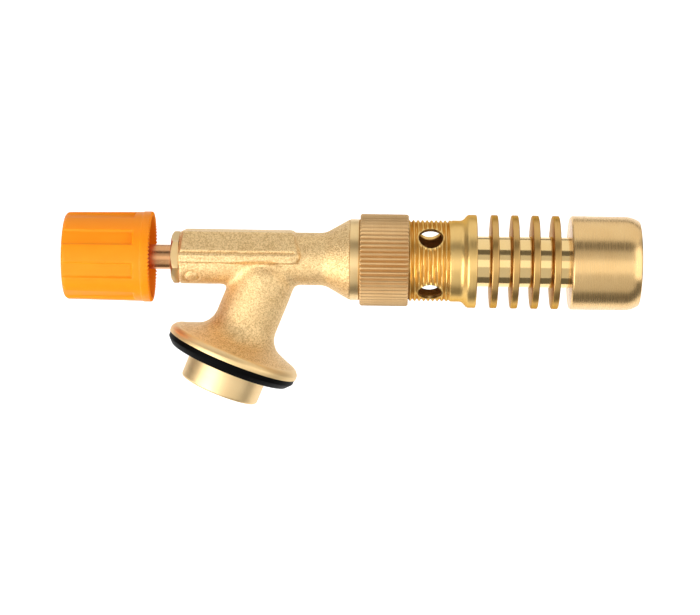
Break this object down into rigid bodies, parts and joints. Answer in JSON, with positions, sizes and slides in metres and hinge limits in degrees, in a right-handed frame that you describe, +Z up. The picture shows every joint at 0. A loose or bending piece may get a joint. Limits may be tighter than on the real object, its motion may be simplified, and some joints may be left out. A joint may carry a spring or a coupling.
{
  "type": "lampwork torch",
  "caption": "Brass gas torch head for glass beadmaking: turning valve knob, leaning canister inlet, screw air collar, finned neck and burner cup.",
  "frame": {"origin": "where the canister thread's axis crosses the sealing face of the rubber seat washer", "axes": "+X along the barrel towards the burner, +Z up, the plane Y = 0 is the plane of the barrel and inlet axes"},
  "size_m": [0.1274, 0.0302, 0.043],
  "materials": {
    "brass_forged": "forged and sand-blasted",
    "brass_machined": "machined",
    "brass_polished": "polished",
    "brass_brushed": "turned, fine circumferential lines",
    "brass_knurled": "straight knurl, matt",
    "knob_plastic": "moulded, satin orange",
    "rubber_black": "black nitrile",
    "ptfe": "white PTFE",
    "nylon": "natural nylon",
    "bronze_sintered": "sintered, porous",
    "steel": "stainless"
  },
  "bodies": {
    "torch_body": {"valve_body": "brass_forged", "gland_nut": "brass_machined", "gland_packing": "ptfe", "gas_jet": "brass_machined", "jet_filter": "bronze_sintered", "mixing_tube": "brass_machined", "finned_neck": "brass_polished", "burner_cup": "brass_brushed", "gauze_spacer": "brass_machined", "flashback_gauze": "steel", "flame_holder": "brass_machined", "canister_adapter": "brass_machined", "adapter_oring": "rubber_black", "canister_oring": "rubber_black", "depressor_pin": "brass_machined", "inlet_filter": "bronze_sintered", "seat_washer": "rubber_black"},
    "spindle_carrier": {"spindle_oring": "rubber_black"},
    "valve_control": {"valve_spindle": "brass_polished", "control_knob": "knob_plastic", "knob_cap": "knob_plastic", "knob_screw": "steel"},
    "collar_carrier": {"collar_grip_ring": "nylon"},
    "air_regulator": {"air_collar": "brass_knurled"}
  },
  "joints": [
    {"name": "spindle_travel", "type": "slide", "parent": "torch_body", "child": "spindle_carrier", "axis": [-1, 0, 0], "range_m": [0, 0.00187]},
    {"name": "valve_turn", "type": "hinge", "parent": "spindle_carrier", "child": "valve_control", "pos_m": [0.00942, 0, 0.02391], "axis": [-1, 0, 0], "range_deg": [0, 900]},
    {"name": "collar_travel", "type": "slide", "parent": "torch_body", "child": "collar_carrier", "axis": [1, 0, 0], "range_m": [0, 0.009]},
    {"name": "collar_turn", "type": "hinge", "parent": "collar_carrier", "child": "air_regulator", "pos_m": [0.00942, 0, 0.02391], "axis": [1, 0, 0], "range_deg": [0, 3240]}
  ],
  "couplings": [
    {"joint": "valve_turn", "follows": "spindle_travel", "rad_per_m": 8377.6},
    {"joint": "collar_turn", "follows": "collar_travel", "rad_per_m": 6283.2}
  ]
}
